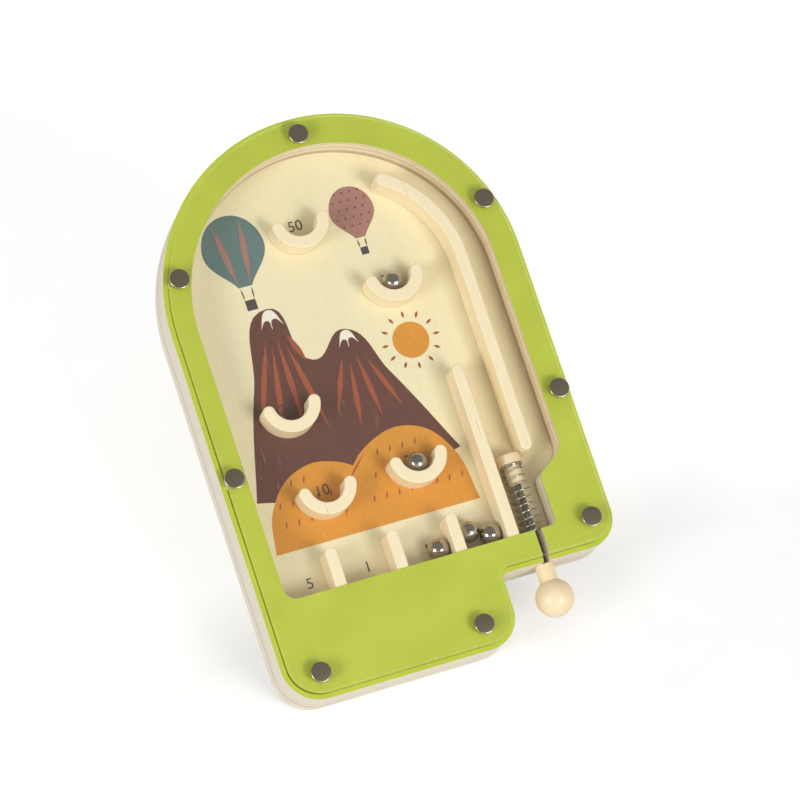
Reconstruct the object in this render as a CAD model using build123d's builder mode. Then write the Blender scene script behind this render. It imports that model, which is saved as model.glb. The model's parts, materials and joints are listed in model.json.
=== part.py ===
from build123d import *
import math
import os

# A wooden tabletop pinball game for small steel balls, leaning back on a leg.
# Lengths are in millimetres and angles in degrees. The part's origin lies on the
# table top, in the middle of the floor that the game covers.
# On the board, x runs to the player's right, y up the board and level along its
# normal. Board places are counted from the centre of the arch, and levels from
# the frame's painted top.

os.makedirs("parts", exist_ok=True)

# Lean of the board
board_tilt = 32.0

# Outline shared by the layers
half_width = 83.0
step_length = 142.6
tail_drop = 30.9
tail_side = 25.5
tail_left_radius = 17.0
tail_right_radius = 15.0
step_inner_radius = 3.0
step_outer_radius = 14.0

# Layers
back_thickness = 7.7
playfield_thickness = 3.3
frame_thickness = 14.0
cover_thickness = 4.0
cover_inset = 2.0
cover_edge_break = 0.9

# Window sawn through the frame
left_wall = 11.8
right_wall = 12.8
top_wall = 14.2
floor_wall = 14.6
window_left_radius = 6.0
lane_side = 9.1
lane_floor_radius = 3.0
slope_foot_height = 23.2
slope_foot_radius = 3.0
slope_rise = 9.3
slope_top_radius = 8.0

# Posts that clamp the layers, and their screws
post_head_diameter = 9.2
post_head_height = 1.6
post_head_round = 0.5
post_barrel_diameter = 5.0
post_hole_clearance = 0.1
post_bore_depth = 11.0
screw_diameter = 3.0
screw_clearance = 0.1
screw_length = 20.0
screw_head_diameter = 6.0
screw_slot_width = 0.8
screw_slot_depth = 0.7
top_post_inset = 9.0
arch_post_inset = 6.6
arch_post_angles = (17.7, 162.3)
side_post_inset = 5.8
side_post_drop = 70.0
step_post_inset = 11.0
step_post_rise = 12.7
tail_post_rise = 11.1
tail_post_right_inset = 16.2
tail_post_left_inset = 15.7

# Rails and dividers
rail_width = 5.5
rail_height = 13.5
edge_round = 0.5
straight_rail_x = 36.3
straight_rail_length = 82.0
lane_width = 13.6
curved_rail_arc_y = 1.9
curved_rail_radius = 51.2
curved_rail_sweep = 58.0
curved_rail_lap = 1.2
divider_centres = (-45.4, -16.5, 11.4)
divider_length = 18.0

# Cups: three counted from the arch centre, and two from the window's floor
upper_cups = ((-10.4, 37.5), (23.1, 2.6), (-40.8, -42.5))
lower_cups = ((-37.0, 45.7), (6.8, 48.1))
cup_inner_radius = 8.0
cup_wall = 5.5
cup_height = 11.5
cup_lip_angle = 9.0

# Balls
ball_diameter = 10.0
ball_gap = 0.05

# Plunger
plunger_height = 5.5
groove_width = 3.5
rod_diameter = 3.0
glue_gap = 0.02
striker_diameter = 10.6
striker_side_gap = 2.5
striker_head_length = 4.6
striker_round = 0.8
spigot_diameter = 7.4
spigot_length = 9.1
striker_bore_depth = 8.0
knob_diameter = 17.5
knob_neck_diameter = 8.4
knob_neck_length = 8.0
knob_neck_round = 1.2
knob_bore_depth = 14.0

# Spring
spring_length = 32.6
spring_mean_diameter = 9.6
spring_wire = 0.6
spring_close_turns = 1
spring_close_pitch = 1.15
spring_open_turns = 8.25
spring_bend_radius = 0.9

# Stand behind the board
hinge_up_board = 30.0
hinge_pin_diameter = 4.0
hinge_clearance = 0.05
hinge_pin_overhang = 1.0
leg_width = 56.0
leg_thickness = 8.0
folded_leg_gap = 2.5
leg_swing_clearance = 0.3
leg_side_gap = 0.4
leg_edge_round = 1.5
block_width = 8.0
block_wall = 4.5

# Sizes that follow from those above
tilt_sin = math.sin(math.radians(board_tilt))
tilt_cos = math.cos(math.radians(board_tilt))
tail_length = step_length + tail_drop
window_left = left_wall - half_width
window_right = half_width - right_wall
window_top = half_width - top_wall
window_arch_radius = (window_right - window_left) / 2
window_arch_x = (window_left + window_right) / 2
window_arch_y = window_top - window_arch_radius
window_floor = step_length - floor_wall
slope_foot = window_floor - slope_foot_height
slope_top = slope_foot - slope_rise
curved_rail_x = straight_rail_x + lane_width + rail_width
curved_rail_arc_x = curved_rail_x - curved_rail_radius
plunger_x = curved_rail_x - striker_side_gap - striker_diameter / 2
lane_wall = plunger_x + lane_side
striker_shoulder = spring_length - window_floor
striker_top = striker_shoulder + striker_head_length
curved_rail_foot = striker_top - curved_rail_lap
straight_rail_top = straight_rail_length - window_floor
divider_top = divider_length - window_floor
playfield_level = -frame_thickness
joint_level = playfield_level - playfield_thickness
back_level = joint_level - back_thickness
ball_radius = ball_diameter / 2
ball_level = playfield_level + ball_radius + ball_gap
plunger_level = playfield_level + plunger_height
hinge_drop = leg_thickness / 2 + folded_leg_gap
hinge_level = back_level - hinge_drop
cup_mid_radius = cup_inner_radius + cup_wall / 2
cup_open_angle = 180 - 2 * cup_lip_angle

# The back's lower edge and the leg's foot stand on the table
arch_centre_z = tail_length * tilt_sin - back_level * tilt_cos
hinge_z = arch_centre_z + hinge_up_board * tilt_sin + hinge_level * tilt_cos
leg_reach = hinge_z / tilt_cos
foot_slope = (leg_thickness / 2) * tilt_sin / tilt_cos
front_reach = min(
    -tail_length * tilt_cos,
    -(tail_length - cover_inset) * tilt_cos - cover_thickness * tilt_sin,
)
rear_reach = (hinge_up_board + leg_thickness / 2) * tilt_cos - (
    hinge_level - leg_reach - foot_slope
) * tilt_sin

board_plane = Plane(
    origin=(0, -(front_reach + rear_reach) / 2, arch_centre_z),
    x_dir=(1, 0, 0),
    z_dir=(0, -tilt_sin, tilt_cos),
)
board_normal = Axis(board_plane.origin, board_plane.z_dir)
playfield_plane = board_plane.offset(playfield_level)
joint_plane = board_plane.offset(joint_level)
back_plane = board_plane.offset(back_level)

# Posts stand about the middle of the frame's wall
arch_post_radius = half_width - arch_post_inset
side_post_x = half_width - side_post_inset
tail_post_y = tail_post_rise - tail_length
post_places = [
    (
        arch_post_radius * math.cos(math.radians(angle)),
        arch_post_radius * math.sin(math.radians(angle)),
    )
    for angle in arch_post_angles
]
post_places += [
    (0, half_width - top_post_inset),
    (side_post_x, -side_post_drop),
    (-side_post_x, -side_post_drop),
    (half_width - step_post_inset, step_post_rise - step_length),
    (tail_side - tail_post_right_inset, tail_post_y),
    (tail_post_left_inset - half_width, tail_post_y),
]


def finish(builder, label):
    """Name a finished piece and write it out."""
    builder.part.label = label
    export_step(builder.part, f"parts/{label}.step")


def board_outline(inset):
    """Draw the board's outline, drawn in all round by an inset."""
    side = half_width - inset
    tail = tail_side - inset
    floor = tail_length - inset
    step = step_length - inset
    with BuildLine() as outline:
        FilletPolyline(
            (side, 0),
            (side, -step),
            (tail, -step),
            (tail, -floor),
            (-side, -floor),
            (-side, 0),
            radius=[
                step_outer_radius - inset,
                step_inner_radius + inset,
                tail_right_radius - inset,
                tail_left_radius - inset,
            ],
        )
        ThreePointArc((-side, 0), (0, side), (side, 0))
    make_face(outline.edges())


def post_circles(diameter, mode=Mode.ADD):
    """Draw a circle at each post."""
    with Locations(*post_places):
        Circle(diameter / 2, mode=mode)


# Back board, with a countersunk hole for each screw
screw_head_height = (screw_head_diameter - screw_diameter) / 2
screw_hole_diameter = screw_diameter + 2 * screw_clearance
post_hole_diameter = post_barrel_diameter + 2 * post_hole_clearance

with BuildPart() as back_board:
    with BuildSketch(back_plane):
        board_outline(0)
        post_circles(screw_hole_diameter, Mode.SUBTRACT)
    extrude(amount=back_thickness)
    with BuildSketch(back_plane):
        post_circles(screw_head_diameter + 2 * screw_clearance)
    extrude(amount=screw_head_height, taper=45, mode=Mode.SUBTRACT)
finish(back_board, "back_board")

# Playfield board, on which the cups, rails and dividers stand
with BuildPart() as playfield_board:
    with BuildSketch(joint_plane):
        board_outline(0)
        post_circles(screw_hole_diameter, Mode.SUBTRACT)
    extrude(amount=playfield_thickness)
finish(playfield_board, "playfield_board")

# Frame with its window, the posts' holes and the open groove for the rod
groove_plane = Plane(
    origin=board_plane.from_local_coords((plunger_x, -step_length, plunger_level)),
    x_dir=(-1, 0, 0),
    z_dir=board_plane.y_dir,
)

with BuildPart() as frame:
    with BuildSketch(playfield_plane):
        board_outline(0)
        with BuildLine():
            FilletPolyline(
                (window_right, window_arch_y),
                (window_right, -slope_top),
                (lane_wall, -slope_foot),
                (lane_wall, -window_floor),
                (window_left, -window_floor),
                (window_left, window_arch_y),
                radius=[
                    slope_top_radius,
                    slope_foot_radius,
                    lane_floor_radius,
                    window_left_radius,
                ],
            )
            ThreePointArc(
                (window_left, window_arch_y),
                (window_arch_x, window_top),
                (window_right, window_arch_y),
            )
        make_face(mode=Mode.SUBTRACT)
        post_circles(post_hole_diameter, Mode.SUBTRACT)
    extrude(amount=frame_thickness)
    with BuildSketch(groove_plane):
        Circle(groove_width / 2)
        Rectangle(groove_width, -plunger_level, align=(Align.CENTER, Align.MIN))
    extrude(amount=step_length - window_floor, mode=Mode.SUBTRACT)
finish(frame, "frame")

# Clear cover
with BuildPart() as clear_cover:
    with BuildSketch(board_plane):
        board_outline(cover_inset)
        post_circles(post_hole_diameter, Mode.SUBTRACT)
    extrude(amount=cover_thickness)
    cover_top = clear_cover.faces().sort_by(board_normal)[-1]
    chamfer(cover_top.outer_wire().edges(), length=cover_edge_break)
finish(clear_cover, "clear_cover")

# Posts: a smooth cap in front, and a barrel through cover and frame
with BuildPart() as cover_posts:
    with BuildSketch(playfield_plane):
        post_circles(post_barrel_diameter)
    extrude(amount=frame_thickness + cover_thickness)
    with BuildSketch(board_plane.offset(cover_thickness)):
        post_circles(post_head_diameter)
    extrude(amount=post_head_height)
    fillet(cover_posts.edges().group_by(board_normal)[-1], radius=post_head_round)
    with BuildSketch(playfield_plane):
        post_circles(screw_hole_diameter)
    extrude(amount=post_bore_depth, mode=Mode.SUBTRACT)
finish(cover_posts, "cover_posts")

# Countersunk screws that enter the posts from behind
with BuildPart() as back_screws:
    with BuildSketch(back_plane):
        post_circles(screw_head_diameter)
    extrude(amount=screw_head_height, taper=45)
    with BuildSketch(back_plane):
        post_circles(screw_diameter)
    extrude(amount=screw_length)
    with BuildSketch(back_plane):
        with Locations(*post_places):
            Rectangle(screw_head_diameter, screw_slot_width)
    extrude(amount=screw_slot_depth, mode=Mode.SUBTRACT)
finish(back_screws, "back_screws")

# Cups: half rings that open up the board, with round lips
cup_places = [*upper_cups, *[(x, height - window_floor) for x, height in lower_cups]]
for number, (cup_x, cup_y) in enumerate(cup_places, start=1):
    with BuildPart() as cup:
        with BuildSketch(playfield_plane):
            with BuildLine(mode=Mode.PRIVATE) as cup_line:
                CenterArc((cup_x, cup_y), cup_mid_radius, 180 + cup_lip_angle, cup_open_angle)
            SlotArc(cup_line.wires()[0], height=cup_wall)
        extrude(amount=cup_height)
        fillet(cup.edges().group_by(board_normal)[-1], radius=edge_round)
    finish(cup, f"cup_{number}")

# Curved rail: the launch lane's outer wall, bent over at the top
with BuildPart() as curved_rail:
    with BuildSketch(playfield_plane):
        with BuildLine(mode=Mode.PRIVATE) as rail_line:
            Line(
                (curved_rail_x, curved_rail_foot + rail_width / 2),
                (curved_rail_x, curved_rail_arc_y),
            )
            CenterArc(
                (curved_rail_arc_x, curved_rail_arc_y),
                curved_rail_radius,
                0,
                curved_rail_sweep,
            )
        SlotArc(rail_line.wires()[0], height=rail_width)
    extrude(amount=rail_height)
    fillet(curved_rail.edges().group_by(board_normal)[-1], radius=edge_round)
finish(curved_rail, "curved_rail")


def standing_bar(centre, top, label):
    """Make a bar that stands on the window's floor and ends in a half round."""
    left = centre - rail_width / 2
    right = centre + rail_width / 2
    shoulder = top - rail_width / 2
    with BuildPart() as bar:
        with BuildSketch(playfield_plane):
            with BuildLine():
                Polyline(
                    (left, shoulder),
                    (left, -window_floor),
                    (right, -window_floor),
                    (right, shoulder),
                )
                ThreePointArc((right, shoulder), (centre, top), (left, shoulder))
            make_face()
        extrude(amount=rail_height)
        fillet(bar.edges().group_by(board_normal)[-1], radius=edge_round)
    finish(bar, label)


standing_bar(straight_rail_x, straight_rail_top, "straight_rail")
for number, divider_x in enumerate(divider_centres, start=1):
    standing_bar(divider_x, divider_top, f"divider_{number}")

# Balls: two in cups, one against a divider, and two wedged in the last bin
floor_ball_y = -window_floor + ball_radius + ball_gap
wall_offset = rail_width / 2 + ball_radius + ball_gap
last_divider_x = divider_centres[-1]
wedge_left_x = last_divider_x + wall_offset
wedge_right_x = straight_rail_x - wall_offset
ball_spacing = ball_diameter + ball_gap
wedge_width = wedge_right_x - wedge_left_x
wedge_rise = math.sqrt(max(0.0, ball_spacing**2 - wedge_width**2))

cup_floor = cup_inner_radius - ball_radius - ball_gap
ball_places = [(x, y - cup_floor) for x, y in (upper_cups[1], cup_places[-1])]
ball_places += [
    (last_divider_x - wall_offset, floor_ball_y),
    (wedge_left_x, floor_ball_y + wedge_rise),
    (wedge_right_x, floor_ball_y),
]

for number, (ball_x, ball_y) in enumerate(ball_places, start=1):
    with BuildPart() as ball:
        with Locations(board_plane.from_local_coords((ball_x, ball_y, ball_level))):
            Sphere(ball_radius)
    finish(ball, f"ball_{number}")

# Plunger: turned striker, steel rod and wooden ball knob on one axis
rod_plane = board_plane.offset(plunger_level)
rod_axis = Axis(
    board_plane.from_local_coords((plunger_x, 0, plunger_level)), board_plane.y_dir
)
spigot_end = striker_shoulder - spigot_length
striker_bore_top = spigot_end + striker_bore_depth
rod_bore_radius = rod_diameter / 2 + glue_gap
knob_radius = knob_diameter / 2
neck_radius = knob_neck_diameter / 2
knob_centre = -step_length - knob_neck_length - math.sqrt(knob_radius**2 - neck_radius**2)
knob_bore_foot = -step_length - knob_bore_depth

with BuildPart() as striker:
    with BuildSketch(rod_plane):
        with BuildLine():
            Polyline(
                (plunger_x, striker_top),
                (plunger_x + striker_diameter / 2, striker_top),
                (plunger_x + striker_diameter / 2, striker_shoulder),
                (plunger_x + spigot_diameter / 2, striker_shoulder),
                (plunger_x + spigot_diameter / 2, spigot_end),
                (plunger_x + rod_bore_radius, spigot_end),
                (plunger_x + rod_bore_radius, striker_bore_top),
                (plunger_x, striker_bore_top),
                close=True,
            )
        make_face()
    revolve(axis=rod_axis)
    fillet(striker.edges().sort_by(rod_axis)[-1], radius=striker_round)
finish(striker, "striker")

with BuildPart() as plunger_rod:
    with BuildSketch(groove_plane.offset(step_length + knob_bore_foot)):
        Circle(rod_diameter / 2)
    extrude(amount=striker_bore_top - knob_bore_foot)
finish(plunger_rod, "plunger_rod")

with BuildPart() as plunger_knob:
    with BuildSketch(rod_plane):
        with BuildLine():
            Polyline(
                (plunger_x, knob_bore_foot),
                (plunger_x + rod_bore_radius, knob_bore_foot),
                (plunger_x + rod_bore_radius, -step_length),
                (plunger_x + neck_radius, -step_length),
                (plunger_x + neck_radius, -step_length - knob_neck_length),
            )
            ThreePointArc(
                (plunger_x + neck_radius, -step_length - knob_neck_length),
                (plunger_x + knob_radius, knob_centre),
                (plunger_x, knob_centre - knob_radius),
            )
            Line((plunger_x, knob_centre - knob_radius), (plunger_x, knob_bore_foot))
        make_face()
    revolve(axis=rod_axis)
    neck_ring = plunger_knob.edges().filter_by(
        lambda edge: edge.geom_type == GeomType.CIRCLE
        and abs(edge.radius - neck_radius) < glue_gap
    )
    fillet(neck_ring.sort_by(rod_axis)[0], radius=knob_neck_round)
finish(plunger_knob, "plunger_knob")

# Spring between the frame's wall and the striker's shoulder. Its two ends run
# straight along the rod for one wire thickness, then bend into the coil.
spring_radius = spring_mean_diameter / 2
bend_lead = spring_wire + spring_bend_radius
close_quarters = round(4 * spring_close_turns)
open_quarters = round(4 * spring_open_turns)
close_rise = spring_close_pitch / 4
open_rise = (spring_length - 2 * bend_lead - 2 * close_quarters * close_rise) / open_quarters
quarter_rises = (
    [close_rise] * close_quarters + [open_rise] * open_quarters + [close_rise] * close_quarters
)
spring_plane = Plane(
    origin=board_plane.from_local_coords((plunger_x, -window_floor, plunger_level)),
    x_dir=(-1, 0, 0),
    z_dir=board_plane.y_dir,
)


def coil_tangent(quarter, rise):
    """Direction of the coil at a quarter turn, for a rise per quarter turn."""
    angle = math.radians(90 * quarter)
    around = spring_radius * math.pi / 2
    return Vector(-math.sin(angle) * around, math.cos(angle) * around, rise).normalized()


def arc_middle(start, corner, end):
    """Middle point of the arc from start to end whose tangents meet at corner."""
    chord_middle = (start + end) * 0.5
    half_chord = (end - start).length / 2
    half_turn = math.acos(half_chord / (corner - start).length)
    sagitta = half_chord * math.tan(half_turn / 2)
    return chord_middle + (corner - chord_middle).normalized() * sagitta


def biarc(start, start_way, end, end_way):
    """The two arcs, as start, middle and end points, that join two tangents."""
    span = end - start
    ways = start_way + end_way
    slack = 4 - ways.dot(ways)
    along = span.dot(ways)
    reach = (math.sqrt(along**2 + slack * span.dot(span)) - along) / slack
    first_corner = start + start_way * reach
    last_corner = end - end_way * reach
    joint = (first_corner + last_corner) * 0.5
    return (
        (start, arc_middle(start, first_corner, joint), joint),
        (joint, arc_middle(joint, last_corner, end), end),
    )


coil_points = []
coil_ways = []
coil_height = bend_lead
for quarter in range(len(quarter_rises) + 1):
    turn = math.radians(90 * quarter)
    coil_points.append(
        Vector(spring_radius * math.cos(turn), spring_radius * math.sin(turn), coil_height)
    )
    before = quarter_rises[max(quarter - 1, 0)]
    after = quarter_rises[min(quarter, len(quarter_rises) - 1)]
    way = coil_tangent(quarter, (before + after) / 2)
    if quarter in (0, len(quarter_rises)):
        way = coil_tangent(quarter, 0)
    coil_ways.append(way)
    coil_height += after

axial = Vector(0, 0, 1)
first_bend = coil_points[0] - (coil_ways[0] + axial) * spring_bend_radius
last_bend = coil_points[-1] + (coil_ways[-1] + axial) * spring_bend_radius
first_corner = first_bend + axial * spring_bend_radius
last_corner = last_bend - axial * spring_bend_radius
coil_arcs = [(first_bend, arc_middle(first_bend, first_corner, coil_points[0]), coil_points[0])]
for quarter in range(len(quarter_rises)):
    coil_arcs += biarc(
        coil_points[quarter],
        coil_ways[quarter],
        coil_points[quarter + 1],
        coil_ways[quarter + 1],
    )
coil_arcs.append((coil_points[-1], arc_middle(coil_points[-1], last_corner, last_bend), last_bend))

with BuildPart() as plunger_spring:
    with BuildLine() as coil_line:
        Line(
            spring_plane.from_local_coords(first_bend - axial * spring_wire),
            spring_plane.from_local_coords(first_bend),
        )
        for arc_points in coil_arcs:
            ThreePointArc(*[spring_plane.from_local_coords(point) for point in arc_points])
        Line(
            spring_plane.from_local_coords(last_bend),
            spring_plane.from_local_coords(last_bend + axial * spring_wire),
        )
    with BuildSketch(
        Plane(
            origin=spring_plane.from_local_coords(first_bend - axial * spring_wire),
            x_dir=spring_plane.x_dir,
            z_dir=spring_plane.z_dir,
        )
    ):
        Circle(spring_wire / 2)
    sweep(path=coil_line.wires()[0])
finish(plunger_spring, "plunger_spring")

# The least gap between the spring's turns, taken on points along its line
coil_wire = coil_line.wires()[0]
samples_per_turn = 48
sample_count = round(samples_per_turn * len(quarter_rises) / 4)
coil_samples = [coil_wire @ (index / sample_count) for index in range(sample_count + 1)]
least_gap = min(
    (coil_samples[far] - coil_samples[near]).length - spring_wire
    for near in range(sample_count)
    for far in range(near + samples_per_turn // 2, sample_count + 1)
)
swept_volume = math.pi * (spring_wire / 2) ** 2 * coil_wire.length
print(f"spring: least gap {least_gap:.2f} mm, rise per turn {4 * open_rise:.2f} mm")
print(f"spring: volume {plunger_spring.part.volume:.2f} of {swept_volume:.2f} mm3")

# Stand: a leg between two blocks that are glued to the back. The leg's square
# heel meets the back when it is open, and its other corner is round to swing by.
hinge_plane = Plane(
    origin=board_plane.from_local_coords((0, hinge_up_board, hinge_level)),
    x_dir=board_plane.y_dir,
    z_dir=(1, 0, 0),
)
pin_radius = hinge_pin_diameter / 2
hinge_bore_radius = pin_radius + hinge_clearance
block_radius = pin_radius + block_wall
half_leg = leg_thickness / 2
swing_radius = hinge_drop - leg_swing_clearance
swing_corner = math.sqrt(swing_radius**2 - half_leg**2)
swing_middle = math.radians(90 + math.degrees(math.asin(half_leg / swing_radius)) / 2)

with BuildPart() as stand_leg:
    with BuildSketch(hinge_plane.offset(-leg_width / 2)):
        with BuildLine():
            Polyline(
                (-half_leg, swing_corner),
                (-half_leg, -leg_reach + foot_slope),
                (half_leg, -leg_reach - foot_slope),
                (half_leg, hinge_drop),
                (0, hinge_drop),
                (0, swing_radius),
            )
            ThreePointArc(
                (0, swing_radius),
                (swing_radius * math.cos(swing_middle), swing_radius * math.sin(swing_middle)),
                (-half_leg, swing_corner),
            )
        make_face()
        Circle(hinge_bore_radius, mode=Mode.SUBTRACT)
    extrude(amount=leg_width)
    side_edges = stand_leg.edges().filter_by(Axis(board_plane.origin, board_plane.z_dir))
    long_edges = side_edges.filter_by(lambda edge: edge.length > leg_reach - leg_thickness)
    fillet(long_edges, radius=leg_edge_round)
finish(stand_leg, "stand_leg")

block_offset = leg_width / 2 + leg_side_gap
for label, block_start in (
    ("stand_block_left", -block_offset - block_width),
    ("stand_block_right", block_offset),
):
    with BuildPart() as block:
        with BuildSketch(hinge_plane.offset(block_start)):
            with BuildLine():
                Polyline(
                    (-block_radius, 0),
                    (-block_radius, hinge_drop),
                    (block_radius, hinge_drop),
                    (block_radius, 0),
                )
                ThreePointArc((block_radius, 0), (0, -block_radius), (-block_radius, 0))
            make_face()
            Circle(hinge_bore_radius, mode=Mode.SUBTRACT)
        extrude(amount=block_width)
    finish(block, label)

pin_half_length = block_offset + block_width + hinge_pin_overhang
with BuildPart() as stand_hinge_pin:
    with BuildSketch(hinge_plane.offset(-pin_half_length)):
        Circle(pin_radius)
    extrude(amount=2 * pin_half_length)
finish(stand_hinge_pin, "stand_hinge_pin")
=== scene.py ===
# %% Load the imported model
import json
import math
import bmesh
import bpy
from mathutils import Matrix, Vector

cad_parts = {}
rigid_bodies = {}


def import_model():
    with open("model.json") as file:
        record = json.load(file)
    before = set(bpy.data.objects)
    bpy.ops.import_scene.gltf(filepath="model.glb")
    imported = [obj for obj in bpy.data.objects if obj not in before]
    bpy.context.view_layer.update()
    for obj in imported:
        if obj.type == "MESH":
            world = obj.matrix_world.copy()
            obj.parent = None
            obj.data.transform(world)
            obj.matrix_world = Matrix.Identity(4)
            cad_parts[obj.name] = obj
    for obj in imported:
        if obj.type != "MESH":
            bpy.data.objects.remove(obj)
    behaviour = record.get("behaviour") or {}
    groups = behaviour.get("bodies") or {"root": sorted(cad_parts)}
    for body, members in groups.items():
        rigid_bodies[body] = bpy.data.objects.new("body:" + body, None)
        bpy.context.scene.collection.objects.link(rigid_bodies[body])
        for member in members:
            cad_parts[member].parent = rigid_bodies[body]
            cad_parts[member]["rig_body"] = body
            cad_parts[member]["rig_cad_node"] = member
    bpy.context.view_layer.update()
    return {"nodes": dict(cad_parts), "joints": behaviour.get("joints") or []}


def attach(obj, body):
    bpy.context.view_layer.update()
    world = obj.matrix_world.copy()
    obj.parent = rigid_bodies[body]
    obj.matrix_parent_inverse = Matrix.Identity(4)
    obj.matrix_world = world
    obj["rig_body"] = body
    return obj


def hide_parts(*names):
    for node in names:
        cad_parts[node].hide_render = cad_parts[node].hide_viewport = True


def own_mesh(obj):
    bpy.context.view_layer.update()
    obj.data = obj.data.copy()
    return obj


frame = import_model()

# %% [markdown]
# # A wooden pinball game, dressed in Blender
#
# The game is a stout back, a thin playfield board, a thick frame with a sawn window
# and a clear cover, clamped by eight posts and leaning back on a leg. All of that is
# already there as solids. This lesson gives every surface its finish, and models again the
# few pieces whose looks need more than a solid: cover, posts, balls, spring, knob,
# striker, the frame's soft edges and the print on the playfield.
#
# The board is tilted, so the easiest way to model is to draw everything lying flat,
# in millimetres, and to lay it on the board at the end. The matrix for that is read
# from the model: the plunger slides down the board, which gives one axis, the other
# runs across, and the frame's own points give the middle of the arch.

# %% The board's own axes
mm = 0.001
pull = next(joint for joint in frame["joints"] if joint["name"] == "plunger_pull")
up_board = -Vector(pull["axis"]).normalized()
across = Vector((1, 0, 0))
board_normal = across.cross(up_board)
frame_points = [vertex.co for vertex in frame["nodes"]["frame"].data.vertices]
half_width = max(point.x for point in frame_points)
arch_reach = max(point.dot(up_board) for point in frame_points) - half_width
top_reach = max(point.dot(board_normal) for point in frame_points)
arch_centre = up_board * arch_reach + board_normal * top_reach
lean = Matrix((across, up_board, board_normal)).transposed().to_4x4()
board = Matrix.Translation(arch_centre) @ lean @ Matrix.Scale(mm, 4)
to_board = board.inverted()
print("the board leans", round(math.degrees(math.asin(up_board.z)), 1), "degrees")


# %% Sizes read from the solids, in board millimetres
def board_points(node):
    """Every point of a solid, in board millimetres."""
    return [to_board @ vertex.co for vertex in frame["nodes"][node].data.vertices]


def board_box(node):
    """Lowest and highest corner of a solid, in board millimetres."""
    points = board_points(node)
    low = Vector(min(point[axis] for point in points) for axis in range(3))
    high = Vector(max(point[axis] for point in points) for axis in range(3))
    return low, high


playfield_level = board_box("playfield_board")[1].z
cover_top = board_box("clear_cover")[1].z
print("playfield at", round(playfield_level, 2), "and cover up to", round(cover_top, 2))

# %% [markdown]
# ## Camera
#
# The game is seen from in front and above, a little from the left, through a long
# lens from almost two metres, so that its sides stay nearly parallel. The camera's
# place is given the way a photographer would say it: so many degrees above the
# table, so many round from the front, and that far away.

# %% Camera
camera_height_angle = math.radians(44.41)
camera_side_angle = math.radians(21.67)
camera_distance = 1.7853
camera_shift_right = 0.0234
camera_shift_down = 0.0493
camera_lens = 180
camera_sensor = 36

toward_board = Vector((math.sin(camera_side_angle), math.cos(camera_side_angle), 0))
camera_right = Vector((toward_board.y, -toward_board.x, 0))
view_way = toward_board * math.cos(camera_height_angle)
view_way.z = -math.sin(camera_height_angle)
camera_up = camera_right.cross(view_way)
camera_data = bpy.data.cameras.new("front_camera")
camera_data.lens = camera_lens
camera_data.sensor_width = camera_sensor
camera = bpy.data.objects.new("front_camera", camera_data)
bpy.context.scene.collection.objects.link(camera)
camera.matrix_world = Matrix((camera_right, camera_up, -view_way)).transposed().to_4x4()
camera.location = arch_centre - view_way * camera_distance
camera.location += camera_right * camera_shift_right - camera_up * camera_shift_down
bpy.context.scene.camera = camera
bpy.context.scene.view_settings.view_transform = "Standard"
print("camera at", [round(value, 3) for value in camera.location])

# %% [markdown]
# ## Small helpers for shader nodes
#
# Every finish below is a short list of nodes. One helper adds a node and fills or
# links its inputs in one go, a few more make the nodes that come up again and again,
# and the last opens a node group with named sockets. Colours are written as they are
# read off a paint card, from 0 to 255, and turned into the linear values that shaders
# work with.


# %% Colours and single nodes
def colour(red, green, blue):
    """A paint card colour as the linear values that a shader takes."""
    shares = (value / 255 for value in (red, green, blue))
    straight = [s / 12.92 if s <= 0.04045 else ((s + 0.055) / 1.055) ** 2.4 for s in shares]
    return (*straight, 1.0)


def add_node(tree, kind, settings=None, **inputs):
    """Add a node, set its options, and fill or link its inputs by name."""
    made = tree.nodes.new(kind)
    for key, value in (settings or {}).items():
        setattr(made, key, value)
    for key, value in inputs.items():
        wanted = key.replace("_", " ")
        socket = next(s for s in made.inputs if s.name == wanted and s.enabled)
        if isinstance(value, bpy.types.NodeSocket):
            tree.links.new(value, socket)
        else:
            socket.default_value = value
    return made


def calculate(tree, operation, *values):
    """Add a Math node and return its output."""
    made = tree.nodes.new("ShaderNodeMath")
    made.operation = operation
    for socket, value in zip(made.inputs, values):
        if isinstance(value, bpy.types.NodeSocket):
            tree.links.new(value, socket)
        else:
            socket.default_value = value
    return made.outputs[0]


print("white is", [round(value, 2) for value in colour(255, 255, 255)])


# %% Nodes that come up again and again
def spread(tree, value, low, high, to_low=0.0, to_high=1.0):
    """Map a value from one range to another, held at both ends."""
    ends = {"From_Min": low, "From_Max": high, "To_Min": to_low, "To_Max": to_high}
    return add_node(tree, "ShaderNodeMapRange", Value=value, **ends).outputs["Result"]


def blend_colours(tree, share, first, second):
    """Mix two colours by a share and return the result."""
    made = tree.nodes.new("ShaderNodeMix")
    made.data_type = "RGBA"
    for number, value in ((0, share), (6, first), (7, second)):
        socket = made.inputs[number]
        if isinstance(value, bpy.types.NodeSocket):
            tree.links.new(value, socket)
        else:
            socket.default_value = value
    return made.outputs[2]


def split_place(tree, place):
    """The three parts of a place, under the names X, Y and Z."""
    return add_node(tree, "ShaderNodeSeparateXYZ", Vector=place).outputs


def noise(tree, place, scale, detail, **more):
    """Add a noise texture and return its value."""
    made = add_node(tree, "ShaderNodeTexNoise", Vector=place, Scale=scale, Detail=detail, **more)
    return made.outputs[0]


def stretched(tree, place, stretch):
    """Multiply a place by a stretch, part by part, which draws a pattern out."""
    made = add_node(tree, "ShaderNodeVectorMath", {"operation": "MULTIPLY"})
    tree.links.new(place, made.inputs[0])
    tree.links.new(stretch, made.inputs[1])
    return made.outputs[0]


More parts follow.
